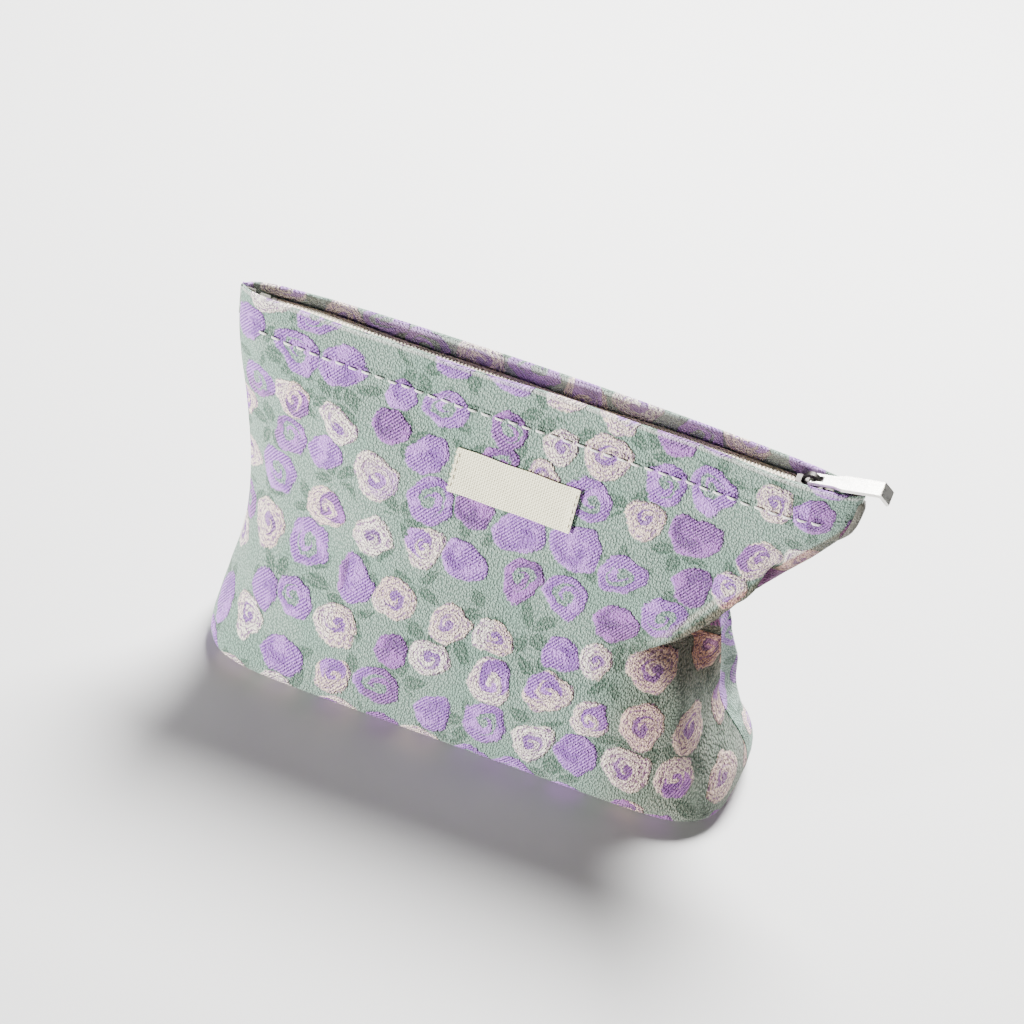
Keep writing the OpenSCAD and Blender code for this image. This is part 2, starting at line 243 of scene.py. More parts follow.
def jacquard(name, fold_at, fold_width, stitch_at):
    """Woven jacquard: roses in purples and cream on a sage crepe ground, with sprays of darker leaves.
    A highlight is painted along the fold at the mouth, from fold_at mm up its length, and the cloth is
    drawn in by the stitches at stitch_at mm, with painted shade in their groove. The UV map "tuck" says
    where shade (x) and a highlight (y) are painted."""
    g = Graph(name)
    uv = g.cloth()
    ux, uy, _ = g.split(uv)
    centred = (0.5, 0.5, 0.5)
    sway = g.vector("SCALE", g.apart(g.noise(uv, 0.06, 1, colour=True), centred), scale=8.0)
    jag = g.vector("SCALE", g.apart(g.noise(uv, 0.9, 1, colour=True), centred), scale=1.5)
    moved = g.shift(g.shift(uv, sway), REPEAT_AT)

    def inside(value, edge, soft):
        """1 where value is below edge."""
        return g.rest(g.step(value, g.sub(edge, soft), g.add(edge, soft)))

    # one rose to a cell, as large as its neighbours leave room for
    lattice = {"Vector": moved, "Scale": 1 / ROSE_PITCH, "Randomness": 0.40}
    cell = g.node("ShaderNodeTexVoronoi", lattice, voronoi_dimensions="2D")
    room = g.node("ShaderNodeTexVoronoi", lattice, voronoi_dimensions="2D", feature="N_SPHERE_RADIUS")
    pick = g.split(cell.outputs["Color"])
    more = g.split(g.node("ShaderNodeTexWhiteNoise", {"Vector": cell.outputs["Position"]},
                          noise_dimensions="3D").outputs["Color"])
    local = g.shift(g.apart(moved, cell.outputs["Position"]), jag)
    x, y, _ = g.split(local)
    r = g.vector("LENGTH", g.join(x, y))
    angle = g.math("ARCTAN2", y, x)
    phase = g.mul(pick[0], TURN)

    def wave(lobes, turned, size):
        """Waves round the outline, turned by a different share of the phase for each number of lobes."""
        return g.mul(g.sine(g.add(g.mul(angle, lobes), g.mul(phase, turned))), size)

    size = g.math("MINIMUM", g.mul(room.outputs["Radius"], ROSE_PITCH * 1.01), g.mad(pick[1], 2.6, 7.8))
    outline = g.add(g.add(wave(2, 1.0, 0.055), wave(3, 2.3, 0.04)), wave(7, 3.7, 0.03))
    t = g.math("DIVIDE", r, g.mul(size, g.add(outline, 1.0)))
    flower = inside(t, 1.0, 0.04)

    # satin: fine diagonal ribs that fade into plain fill here and there
    lie = g.add(g.mad(ux, 0.77, g.mul(uy, -0.64)), g.mul(g.split(sway)[0], 0.2))
    rib = g.step(g.mad(g.sine(g.mul(lie, TURN / RIB_PITCH)), 0.5, 0.5), 0.15, 0.85)
    plain = g.step(g.noise(g.shift(uv, (9.0, 4.0, 0.0)), 0.13, 1.0), 0.50, 0.60)
    rib = g.math("MAXIMUM", rib, g.mul(plain, 0.75))
    grain = grain_of(g, uv)
    fleck = g.noise(uv, 2.2, 1.5)
    # loops: raised chains of pale thread, about a millimetre apart, laid round the flower
    ripple = g.mad(g.noise(local, 0.55, 1.0), 2.6, g.math("DIVIDE", r, LOOP_PITCH))
    chain = g.math("ABSOLUTE", g.sub(g.math("FRACT", ripple), 0.5))
    chain = g.rest(g.step(chain, 0.20, 0.42))
    # petals: a spiral band that winds in to the heart
    winding = g.math("FRACT", g.add(g.mul(t, 1.75), g.add(g.mul(angle, PER_RADIAN), pick[0])))
    band = g.mul(g.step(winding, 0.0, 0.07), inside(winding, 0.56, 0.05))

    # ground: crepe with a greener cast in places, and leaves in sprays
    cast = g.step(g.noise(g.shift(uv, (31.0, 17.0, 0.0)), 0.04, 1.0), 0.46, 0.62)
    ground = g.mix(g.rest(grain), g.mix(g.mul(cast, 0.6), SAGE, rgb(108, 150, 132)), SAGE_DARK)
    sprays = {"Vector": g.shift(moved, (5.0, 8.0, 0.0)), "Scale": 1 / SPRAY_PITCH, "Randomness": 0.75}
    spray = g.node("ShaderNodeTexVoronoi", sprays, voronoi_dimensions="2D")
    spray_pick = g.split(spray.outputs["Color"])
    sx, sy, _ = g.split(g.shift(g.apart(sprays["Vector"], spray.outputs["Position"]), jag))
    stem, length = 1.2, 10.3    # of a leaf, in mm from the middle of the spray
    sr = g.vector("LENGTH", g.join(sx, sy))
    sa = g.mad(g.math("ARCTAN2", sy, sx), PER_RADIAN, spray_pick[0])
    off = g.sub(g.math("FRACT", g.mul(sa, float(LEAVES))), 0.5)
    across = g.math("ABSOLUTE", g.mul(g.mul(off, TURN / LEAVES), sr))
    half_wide = g.mul(g.sine(g.mul(g.sub(sr, stem), pi / length)), 2.6)
    along = g.mul(g.step(sr, stem, stem + 0.4), inside(sr, stem + length - 0.2, 0.2))
    leaf = g.mul(inside(across, half_wide, 0.3), along)
    # a quarter of the turn has no leaves
    leaf = g.mul(leaf, g.step(g.sine(g.mul(g.add(sa, spray_pick[1]), TURN)), -0.75, -0.65))
    vein = g.mul(inside(across, 0.22, 0.16), leaf)
    colour = g.mix(g.mul(leaf, g.mad(grain, -0.25, 0.95)), ground, LEAF)
    colour = g.mix(g.mul(vein, 0.35), colour, SAGE)

    # kinds of flower
    deep_tone = g.step(more[2], 0.74, 0.76)
    light = g.mix(deep_tone, PURPLE_LIGHT, rgb(174, 104, 200))
    dark = g.mix(deep_tone, PURPLE, PURPLE_DARK)
    # shade under one petal of each, so that no flower is a plain disc
    lap = g.sine(g.add(g.add(angle, phase), g.mul(t, 2.6)))
    body = g.mix(rib, dark, light)
    body = g.mix(g.mul(g.mul(g.step(lap, 0.35, 0.95), inside(t, 0.85, 0.1)), 0.65), body, dark)
    heart_tone = g.mix(grain, rgb(84, 112, 104), rgb(150, 172, 164))
    # ring: a broad ring or hook of purple round a green heart
    rim = g.mul(g.step(t, 0.55, 0.62), g.rest(g.mul(g.step(lap, 0.72, 0.82), inside(t, 0.9, 0.05))))
    ring = g.mix(g.math("MAXIMUM", rim, g.mul(band, g.step(t, 0.16, 0.22))), heart_tone, body)
    # rose: loops of cream round a purple heart with a cream hook in it
    strand = g.mix(g.mul(more[0], 0.7), CREAM, PINK)
    loops = g.mix(chain, g.mix(0.5, MAUVE, rgb(136, 112, 116)), strand)
    rose_heart = g.mix(g.mul(band, g.step(t, 0.12, 0.18)), g.mix(rib, dark, MAUVE), loops)
    heart_at = g.mad(pick[1], 0.12, 0.46)
    rose = g.mix(inside(t, heart_at, 0.04), loops, rose_heart)
    # half: a purple disc set to one side in a crescent of cream loops
    aside = 0.34
    hx = g.mad(g.math("COSINE", phase), g.mul(size, aside), x)
    hy = g.mad(g.sine(phase), g.mul(size, aside), y)
    disc = inside(g.math("DIVIDE", g.vector("LENGTH", g.join(hx, hy)), size), 0.72, 0.04)
    half = g.mix(disc, loops, g.mix(g.mul(band, inside(t, 0.5, 0.05)), body, loops))
    # about a quarter of each kind, the first of them plain purple
    kind, tint = pick[2], body
    for start, look in ((0.27, ring), (0.54, rose), (0.80, half)):
        tint = g.mix(g.step(kind, start, start + 0.01), tint, look)
    colour = g.mix(flower, colour, tint)
    # fine specks over everything
    speck = g.sub(g.mad(fleck, 1.0, g.mul(grain, 0.22)), 0.64)
    colour = g.mix(g.mul(speck, 0.9, clamp=True), colour, rgb(240, 240, 236))
    colour = g.mix(g.mul(speck, -1.1, clamp=True), colour, rgb(70, 74, 78))
    # painted highlight on top of the fold at the mouth, and painted light that makes the hem behind it a
    # little paler
    on_top = inside(uy, fold_at + fold_width * 0.35, fold_width * 0.15)
    fold_highlight = g.mul(g.step(uy, fold_at - 0.4, fold_at + 0.4), on_top)
    turned = g.mul(g.step(uy, fold_at + fold_width * 0.5, fold_at + fold_width), 0.2)
    colour = g.mix(g.math("MAXIMUM", g.mul(fold_highlight, 0.35), turned), colour, rgb(246, 245, 240))
    # painted warm shade in the tuck under the fold by the pinch, and a painted highlight along the fold's
    # lip
    painted_shade, painted_highlight, _ = g.split(g.node("ShaderNodeUVMap", uv_map="tuck").outputs[0])
    painted_shade_mix = g.node("ShaderNodeMix", {0: 1.0, 6: colour, 7: (0.62, 0.40, 0.33, 1.0)}, data_type="RGBA",
                    blend_type="MULTIPLY")
    colour = g.mix(g.mul(painted_highlight, 0.6), g.mix(painted_shade, colour, painted_shade_mix.outputs[2]), rgb(226, 216, 200))

    # relief: domed flowers with their ribs, loops and bands, and the grain of the crepe
    height = g.mul(inside(t, 0.95, 0.10), g.mad(t, -0.25, 0.75))
    for part, tall in ((rib, 0.17), (chain, 0.16), (band, 0.16)):
        height = g.add(height, g.mul(g.mul(part, flower), tall))
    for part, tall in ((grain, 0.23), (fleck, 0.22)):
        height = g.add(height, g.mul(part, tall))
    # the row of stitches draws the cloth in, with painted shade in its groove
    groove = inside(g.math("ABSOLUTE", g.sub(uy, stitch_at)), 0.6, 0.4)
    colour = g.mix(g.mul(groove, 0.08), colour, rgb(60, 70, 66))
    height = g.sub(height, g.mul(groove, 0.3))
    g.bump(height, 0.0015, 1.0)
    return g.finish(colour, Roughness=g.mad(flower, -0.14, 0.82), Sheen_Weight=0.15, Sheen_Roughness=0.5,
                    Specular_IOR_Level=0.3)


def crepe(name, colour=SAGE, dark=SAGE_DARK):
    """The jacquard's ground alone, for small pieces with no place on the flat cloth."""
    g = Graph(name)
    grain = grain_of(g, g.place(), flat=False)
    g.bump(grain, 0.0004, 0.8)
    return g.finish(g.mix(g.mul(grain, 0.75), dark, colour), Roughness=0.8, Sheen_Weight=0.2)


def plain_cloth(name, colour, dark, pitch, relief=0.00025):
    """Plain weave with a little uneven dye."""
    g = Graph(name)
    uv = g.cloth()
    ux, uy, _ = g.split(uv)
    warp = g.math("ABSOLUTE", g.sine(g.mul(ux, pi / pitch)))
    weft = g.math("ABSOLUTE", g.sine(g.mul(uy, pi / pitch)))
    over = g.sine(g.mul(g.add(ux, uy), pi / pitch))
    weave = g.mix(g.step(over, -0.2, 0.2), g.join(warp, warp, warp), g.join(weft, weft, weft))
    height = g.split(weave)[0]
    slub = g.noise(g.vector("MULTIPLY", uv, (0.4, 2.2, 1.0)), 0.8, 2.0)
    share = g.mul(g.add(g.rest(height), slub), 0.45, clamp=True)
    g.bump(height, relief, 0.8)
    return g.finish(g.mix(share, colour, dark), Roughness=0.85, Sheen_Weight=0.2, Specular_IOR_Level=0.3)


def thread(name, colour, dark):
    """Sewing thread with its twist."""
    g = Graph(name)
    place = g.place()
    twist = g.sine(g.mul(g.vector("DOT_PRODUCT", place, (1.0, 0.6, 0.9)), TURN / TWIST_PITCH))
    share = g.mad(twist, 0.25, 0.25)
    g.bump(twist, 0.0001, 0.6)
    return g.finish(g.mix(share, colour, dark), Roughness=0.6, Sheen_Weight=0.3)


def metal(name, colour, rough, wear):
    """Plated zinc: fine brushing along X, tiny pits and dulled patches."""
    g = Graph(name)
    place = g.place()
    brush = g.noise(g.vector("MULTIPLY", place, (0.25, 6.0, 6.0)), 1.6, 3.0)
    patch = g.noise(place, 0.35, 3.0)
    pit = g.step(g.noise(place, 3.0, 2.0), 0.70, 0.78)
    dull = tuple(c * 0.75 for c in colour[:3]) + (1.0,)
    g.bump(g.sub(g.mul(brush, 0.5), pit), 0.00004, 0.5)
    tone = g.mix(g.mul(g.step(patch, 0.4, 0.7), wear), colour, dull)
    r = g.mad(brush, 0.12, g.mad(patch, 0.14, rough - 0.1))
    return g.finish(tone, Metallic=1.0, Roughness=r)


def nylon(name, colour, dark):
    """Moulded coil, unevenly dyed."""
    g = Graph(name)
    place = g.place()
    tone = g.mix(g.step(g.noise(place, 0.7, 2.0), 0.4, 0.7), colour, dark)
    g.bump(g.noise(place, 4.0, 1.0), 0.00005, 0.4)
    return g.finish(tone, Roughness=0.42, Specular_IOR_Level=0.5)


LABEL_THREAD = thread("label_thread", rgb(214, 204, 182), rgb(170, 158, 134))
SEAM_CLOTH = crepe("seam_cloth")
BINDING = crepe("seam_edge", rgb(104, 102, 90), rgb(68, 66, 58))
LINING = plain_cloth("lining_cloth", rgb(232, 224, 208), rgb(196, 186, 168), 0.5)
CANVAS = plain_cloth("label_canvas", rgb(255, 251, 218), rgb(234, 226, 192), 0.85, 0.0004)
TAPE = plain_cloth("zip_tape_cloth", rgb(222, 212, 194), rgb(182, 170, 150), 0.7)
THREAD = thread("white_thread", rgb(253, 252, 248), rgb(220, 218, 210))
TEETH = nylon("zip_nylon", rgb(232, 224, 206), rgb(204, 192, 170))
DARK_METAL = metal("slider_metal", rgb(58, 56, 54), 0.38, 0.5)
BRIGHT_METAL = metal("pull_metal", rgb(236, 234, 228), 0.26, 0.3)

# ---------------------------------------------------------------- the bag's surface

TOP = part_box("outer_front")[1].z
HALF_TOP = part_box("outer_front")[1].x
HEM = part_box("facing_front")[0].z
CHAIN = (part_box("zip_teeth_front")[0].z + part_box("zip_teeth_front")[1].z) / 2
ROLL = 9 * MM                   # radius of the roll between walls and base
FOLD_R = 1.1 * MM               # radius of the fold along the top edge
CLOTH = 0.9 * MM                # thickness of the outer cloth
STITCH_Z = TOP - 12.4 * MM      # height of the row of stitches
LINED = 2.7 * MM                # depth of the lining's inner face behind the outer face


def hermite(knots):
    """Smooth curve through [z, value] pairs."""
    zs, vs = np.array(knots, float).T
    slopes = np.gradient(vs, zs)

    def curve(z):
        z = np.clip(np.asarray(z, float), zs[0], zs[-1])
        i = np.clip(np.searchsorted(zs, z, side="right") - 1, 0, len(zs) - 2)
        h = zs[i + 1] - zs[i]
        s = (z - zs[i]) / h
        return ((2 * s**3 - 3 * s**2 + 1) * vs[i] + (s**3 - 2 * s**2 + s) * h * slopes[i]
                + (3 * s**2 - 2 * s**3) * vs[i + 1] + (s**3 - s**2) * h * slopes[i + 1])
    return curve


def measured(nodes, keep, value):
    """Hermite curve of a size against height, read from the CAD nodes' own vertices."""
    found = {}
    for n in nodes:
        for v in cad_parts[n].data.vertices:
            if keep(v.co):
                z = round(v.co.z, 4)
                found[z] = max(found.get(z, -1), value(v.co))
    # two rows close together, as at the slit round a lip, count as one
    knots = sorted(found.items())
    return hermite([k for i, k in enumerate(knots) if i == 0 or k[0] - knots[i - 1][0] > 0.0015])


def smooth(x, low, high):
    t = np.clip((x - low) / (high - low), 0, 1)
    return t * t * (3 - 2 * t)


# Half widths at the side seams and depth of the front in the middle, both of the CAD model.
wide = {side: measured(["outer_front"], lambda co, s=side: co.x * s > 0.06, lambda co, s=side: co.x * s)
        for side in (-1, 1)}
deep = measured(["outer_front", "outer_front_lip"], lambda co: abs(co.x) < 1e-4, lambda co: -co.y)
# Powers of the section by share of the height: a rounded box at the base, a pointed lens at the waist, a
# slot at the mouth.
SECTION = ((0, 12, 0.25), (0.12, 5.2, 0.48), (0.27, 3.9, 0.62), (0.41, 3, 0.8), (0.56, 3.2, 0.88),
           (0.78, 5, 0.8), (1, 15, 0.6))
power_in = hermite([(share * TOP, inner) for share, inner, _ in SECTION])
power_out = hermite([(share * TOP, outer) for share, _, outer in SECTION])


def bow(u, z):
    """Depth of the panel at share u of the half width, as a share of its depth in the middle."""
    return np.maximum(0, 1 - np.abs(u) ** power_in(z)) ** power_out(z)


def rows_of_panel():
    """[kind, value] up the panel: round the roll, up the wall, over the fold and down the hem.
    The rows are closer together where the cloth is creased."""
    creased = 55 * MM, 100 * MM
    rows = [("roll", 0.0)]
    for kind, start, end, count in (("roll", 0, pi / 2, 9), ("wall", ROLL, creased[0], 28),
                                    ("wall", *creased, 58), ("wall", creased[1], TOP - FOLD_R, 32),
                                    ("fold", 0, pi, 9), ("hem", TOP - FOLD_R, HEM, 7)):
        rows += [(kind, value) for value in np.linspace(start, end, count)[1:]]
    return rows


def grid(us, rows):
    """Points of the front panel's outer face: array [row][column][xyz]."""
    out = []
    for kind, value in rows:
        if kind == "roll":
            back = behind = ROLL - ROLL * sin(value)
            z = ROLL - ROLL * cos(value)
        else:
            turn = {"wall": 0.0, "fold": value, "hem": pi}[kind]
            z = TOP - FOLD_R + FOLD_R * sin(turn) if kind == "fold" else value
            back, behind = 0.0, FOLD_R * (1 - cos(turn))
        w = np.where(us < 0, wide[-1](z), wide[1](z))
        x = (w - back) * us
        y = -np.maximum(0.0004, deep(z) * bow(us, z) - behind)
        out.append(np.stack([x, y, np.full_like(us, z)], -1))
    return np.array(out)


def normals(points):
    n = np.cross(np.gradient(points, axis=1), np.gradient(points, axis=0))
    return n / np.maximum(1e-12, np.linalg.norm(n, axis=2, keepdims=True))


# What the soft cloth does beyond the CAD model's smooth surface, in mm.
SEAM_IN, BASE_IN = 7.5, 3.2     # how far the right seam stands back at the waist and at the base
PINCH, FOLD_END = np.array([86.0, 101.5]), np.array([64.0, 74.0])   # x and z of the fold's two ends
HANG, SINK, LEAN = 5.0, 8.5, 3.4    # the fold stands out, the tuck below stands in, the lip leans down
# Swellings and hollows of each panel: how far out, then the middle and the reach along x and along z.
HOLLOWS = {"front": ((1.6, -38, 34, 34, 16), (-2.0, 22, 30, 60, 15), (1.4, 55, 20, 98, 16),
                     (-1.6, -74, 17, 70, 24)),
           "back": ((1.5, 34, 32, 38, 18), (-1.8, -26, 28, 66, 18))}
CROWN = {"front": 1.9, "back": 3.4}     # how much higher the hem stands in the middle


def draw_in(points, us, face):
    """The right seam stands back between the two panels over the waist, and the back panel rolls out past
    it. The right end of the base is a little narrower too."""
    z = points[..., 2] / MM
    u = np.maximum(0, us)[None, :]
    waist = smooth(z, 20, 46) * (1 - smooth(z, 80, 97))
    dx = -SEAM_IN * smooth(u, 0.80, 1.0)
    dy = np.zeros_like(dx)
    if face == "back":
        roll = smooth(u, 0.70, 0.93) * (1 - smooth(u, 0.93, 1.0))
        dx = -SEAM_IN * smooth(u, 0.93, 1.0) + 1.8 * roll
        dy = -4.0 * roll
    at_base = -BASE_IN * smooth(u, 0.70, 1.0) * (1 - smooth(z, 30, 50)) * smooth(z, 1, 8)
    moved = points.copy()
    moved[..., 0] += (waist * dx + at_base) * MM
    moved[..., 1] += waist * dy * MM
    return moved


def by_the_fold(x, z):
    """Share of the way along the fold line from the pinch, distance below it in mm, and the way down."""
    length = np.linalg.norm(FOLD_END - PINCH)
    along = (FOLD_END - PINCH) / length
    down = np.array([-along[1], along[0]])
    s = ((x - PINCH[0]) * along[0] + (z - PINCH[1]) * along[1]) / length
    return s, (x - PINCH[0]) * down[0] + (z - PINCH[1]) * down[1], down


def soften(points, us, face):
    """Sags, hollows and the fold by the pinched seam, as shifts of the panel's points."""
    points = draw_in(points, us, face)
    x, z = points[..., 0] / MM, points[..., 2] / MM
    n = normals(points)
    body = smooth(z, 8, 30) * (1 - smooth(z, 128, 140))
    edge = 1 - smooth(np.abs(x), 80, 100)
    shift = np.zeros_like(x)
    for out, x0, wx, z0, wz in HOLLOWS[face]:
        shift += out * np.exp(-((x - x0) / wx) ** 2 - ((z - z0) / wz) ** 2)
    # soft waves that run up the panel
    if face == "front":
        shift += 0.8 * np.sin(x / 19 + 0.6) * np.sin(z / 17 + x / 60)
    else:
        shift += 0.8 * np.sin(x / 21 + 2.1) * np.sin(z / 15 - x / 70)
    shift *= body * edge
    # the fold: a crease from the pinch down towards the middle; the cloth above hangs over the tuck
    # below, and is sewn flat at the seam
    strength = {"front": 1.0, "back": 0.45}[face]
    sewn = 1 - smooth(np.maximum(0, us), 0.93, 0.995)[None, :]
    s, d, down = by_the_fold(x, z)
    reach = (1 - smooth(s, 0.8, 1.35)) * smooth(s, -0.5, 0.0) * strength * sewn
    above = np.where(d < 0, np.exp(-(np.minimum(d, 0) / 13) ** 2), 1 - smooth(d, 0.0, 2.2))
    tuck = smooth(d, 0.0, 2.0) * (1 - smooth(d, 8, 44))
    shift += reach * (HANG * above - SINK * tuck)
    moved = points + n * (shift * MM)[..., None]
    over = reach * np.exp(-((d + 0.4) / 2.2) ** 2) * LEAN * MM
    moved[..., 0] += over * down[0]
    moved[..., 2] += over * down[1]
    # the seam itself stands forward under the fold
    forward = 2.6 * np.exp(-((z - 86) / 9) ** 2) * smooth(x, 62, 84) * MM
    moved[..., 1] += -forward if face == "front" else 0.0
    # the hem's edge is not quite straight, and stands a little higher in the middle
    mouth = smooth(z, 118, 150)
    if face == "front":
        wave = 0.9 * np.sin(x / 23) + 0.4 * np.sin(x / 9 + 1)
    else:
        wave = 0.8 * np.sin(x / 26 + 2) + 0.8 * np.sin(x / 11)
    crown = 1 - np.minimum(1, (x / 118) ** 2)
    moved[..., 2] += mouth * (0.35 * wave * (1 - smooth(np.abs(x), 100, 120))
                              + CROWN[face] * crown * smooth(z, 139, 150)) * MM
    moved[..., 1] += mouth * 0.5 * wave * MM * (1 - smooth(np.abs(x), 84, 112))
    moved[..., 1] = np.minimum(moved[..., 1], -0.0004)
    moved[..., 2] = np.maximum(moved[..., 2], 0.0)
    return moved


def painted_light_of(points, us, face):
    """Two shares at each point of a panel: painted shade, in the tuck and fainter over the side below it,
    and a painted highlight, on the lip of the fold."""
    z = points[..., 2] / MM
    s, d, _ = by_the_fold(points[..., 0] / MM, z)
    tuck = smooth(d, 1.4, 3.0) * (1 - smooth(d, 16, 80)) * (1 - smooth(s, 1.0, 1.6))
    tuck = tuck * smooth(us, 0.50, 0.68)[None, :]
    below = 0.62 * smooth(us, 0.42, 0.70)[None, :] * (1 - smooth(z, 62, 84))
    lip = 0.8 * np.exp(-((d + 0.2) / 0.9) ** 2) * smooth(s, -0.2, 0.15) * (1 - smooth(s, 0.75, 1.15))
    return np.stack([np.maximum(tuck, below), lip], -1) * (face == "front")


def flat_cloth(points):
    """Place of each point on the flat cloth: length along its row from the middle, and up its column."""
    along = np.linalg.norm(np.diff(points, axis=1), axis=2)
    across = np.concatenate([np.zeros((len(points), 1)), np.cumsum(along, axis=1)], axis=1)
    mid = np.argmin(np.abs(points[0, :, 0]))
    across = across - across[:, mid:mid + 1]
    up = np.concatenate([[0], np.cumsum(np.linalg.norm(np.diff(points[:, mid], axis=0), axis=1))])
    return np.stack([across, np.repeat(up[:, None], points.shape[1], 1)], -1)


def mesh_object(name, vertices, faces, material, cloth=None, tuck=None):
    """A smooth-shaded mesh, with a UV map for each of cloth and tuck that is given."""
    mesh = bpy.data.meshes.new(name)
    mesh.from_pydata([tuple(v) for v in vertices], [], [tuple(f) for f in faces])
    index = np.zeros(len(mesh.loops), int)
    mesh.loops.foreach_get("vertex_index", index)
    for layer_name, values in (("cloth", cloth), ("tuck", tuck)):
        if values is not None:
            layer = mesh.uv_layers.new(name=layer_name)
            layer.data.foreach_set("uv", np.asarray(values, float)[index].ravel())
    mesh.materials.append(material)
    mesh.shade_smooth()
    obj = bpy.data.objects.new(name, mesh)
    bpy.context.scene.collection.objects.link(obj)
    return obj


def sheet_object(name, outer, inner, uvs, material, flip=False, tuck=None):
    """A closed sheet between two grids of points. Its rim is a sharp edge. uvs is its place on the flat
    cloth, and tuck the two shares of painted shade and painted highlight, at each point."""
    m, n = outer.shape[:2]
    index = np.arange(m * n).reshape(m, n)
    a, b, c, d = index[:-1, :-1], index[:-1, 1:], index[1:, 1:], index[1:, :-1]
    face = np.stack([a, b, c, d], -1).reshape(-1, 4)
    back = face[:, ::-1] + m * n
    rim = np.concatenate([index[0], index[1:, -1], index[-1, -2::-1], index[-2:0:-1, 0]])
    nxt = np.roll(rim, -1)
    side = np.stack([nxt, rim, rim + m * n, nxt + m * n], -1)
    faces = np.concatenate([face, back, side])
    if flip:
        faces = faces[:, ::-1]
    vertices = np.concatenate([outer.reshape(-1, 3), inner.reshape(-1, 3)])
    if tuck is not None:
        tuck = np.concatenate([tuck.reshape(-1, 2)] * 2)
    obj = mesh_object(name, vertices, faces, material, np.concatenate([uvs.reshape(-1, 2)] * 2), tuck)
    on_rim = np.zeros(len(vertices), bool)
    on_rim[rim] = on_rim[rim + m * n] = True
    pairs = {tuple(sorted(p)) for p in zip(rim.tolist(), nxt.tolist())}
    pairs |= {(p + m * n, q + m * n) for p, q in pairs}
    for e in obj.data.edges:
        if tuple(sorted(e.vertices)) in pairs:
            e.use_edge_sharp = True
    return obj


def columns(side, count):
    """Shares of the half width from the middle to the seam, closer together near the seam."""
    s = np.linspace(0, 1, count + 1)
    return np.sort(side * (1 - (1 - s) ** 1.25))


def facing_back(points):
    """Points of the front turned into those of the back."""
    return points * np.array([1, -1, 1])


def mouth_blend(piece):
    """Bakes the piece's placing into its mesh."""
    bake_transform(piece)


def quarters():
    """For each of the four half panels: face, side, name of the side, and what turns points of the front
    into its own."""
    for face in ("front", "back"):
        for side, word in ((-1, "left"), (1, "right")):
            yield face, side, word, (facing_back if face == "back" else lambda p: p)


def surface(us, rows, face):
    """Points of the softened panel, those of the back still facing the front."""
    return soften(grid(us, rows), us, face)


COLUMNS = 96            # of points on each half panel
BACK_CUT = 0.73         # how far from the front's the back is cut from the same cloth, metres
SKIN = 0.5 * MM         # thickness of the lining
FOLD_ROW = max(i for i, row in enumerate(rows_of_panel()) if row[0] == "wall")
FOLD_AT = flat_cloth(grid(columns(1, COLUMNS), rows_of_panel()))[FOLD_ROW, 0, 1]
JACQUARD = jacquard("jacquard", FOLD_AT / MM, pi * FOLD_R / MM, (FOLD_AT + STITCH_Z - TOP + FOLD_R) / MM)

# ---------------------------------------------------------------- outer panels and lining

for face, side, word, place in quarters():
    us = columns(side, COLUMNS)
    outer = surface(us, rows_of_panel(), face)
    uvs = flat_cloth(outer)
    uvs[..., 1] += FOLD_AT - uvs[FOLD_ROW, 0, 1]
    if face == "back":
        uvs[..., 0] += BACK_CUT
    # tuck carries the painted shade under the fold and the painted highlight on its lip
    panel = sheet_object(f"{face}_panel_{word}", place(outer), place(outer - normals(outer) * CLOTH), uvs,
                         JACQUARD, flip=face == "back", tuck=painted_light_of(outer, us, face))
    mouth_blend(panel)
    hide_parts(f"outer_{face}", f"outer_{face}_lip", f"facing_{face}", f"facing_{face}_ends")

    # lining: from just under the hem down to the base, set back behind the outer cloth where the padding
    # would be, closer in at the hem
    levels = [("roll", a) for a in np.linspace(0.1, pi / 2, 4)]
    levels += [("wall", z) for z in np.linspace(ROLL, HEM + 1 * MM, 44)[1:]]
    us = columns(side, 30) * 0.985
    skin = surface(us, levels, face)
    thick = LINED * np.ones(len(levels))
    thick[-6:] = np.linspace(LINED, 3.0 * MM, 6)
    inner = skin - normals(skin) * thick[:, None, None]
    inner[..., 1] = np.minimum(inner[..., 1], -0.0002)
    outer = skin - normals(skin) * (thick[:, None, None] - SKIN)
    outer[..., 1] = np.minimum(outer[..., 1], -0.0007)
    lining = sheet_object(f"{face}_lining_{word}", place(outer), place(inner), flat_cloth(inner), LINING,
                          flip=face == "back")
    mouth_blend(lining)
    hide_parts(f"lining_{face}", f"lining_{face}_lip", f"padding_{face}", f"padding_{face}_lip")

# ---------------------------------------------------------------- base

us = np.concatenate([columns(-1, COLUMNS)[:-1], columns(1, COLUMNS)])
edge = grid(us, [("roll", 0.0)])[0]
depth = np.linspace(1, -1, 17)
for name, material, z, share in (("base_cloth", JACQUARD, 0.0, 1.0),
                                 ("base_lining", LINING, LINED - SKIN, 1.03)):
    points = np.stack([edge * np.array([share, k * share, 1]) + np.array([0, 0, z]) for k in depth])
    base = sheet_object(name, points + np.array([0, 0, SKIN]), points, points[..., :2] + 0.2, material)
    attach(base, "bag")
    if z == 0:
        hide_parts("base_panel")

# ---------------------------------------------------------------- zip

HEM_IN = 2 * FOLD_R + CLOTH + 0.15 * MM     # depth of the hem's inner face behind the outer face
TAPE_EDGE = 1.5 * MM            # from the middle of the chain to the edge of the tape
CURL = 0.9 * MM                 # radius of the bend where the tape goes down behind the hem
RISE = 0.25 * MM                # of the tape from the chain to the bend
ZIP_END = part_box("zip_tape_ends")[1].x
TOOTH_PITCH = 1.4 * MM


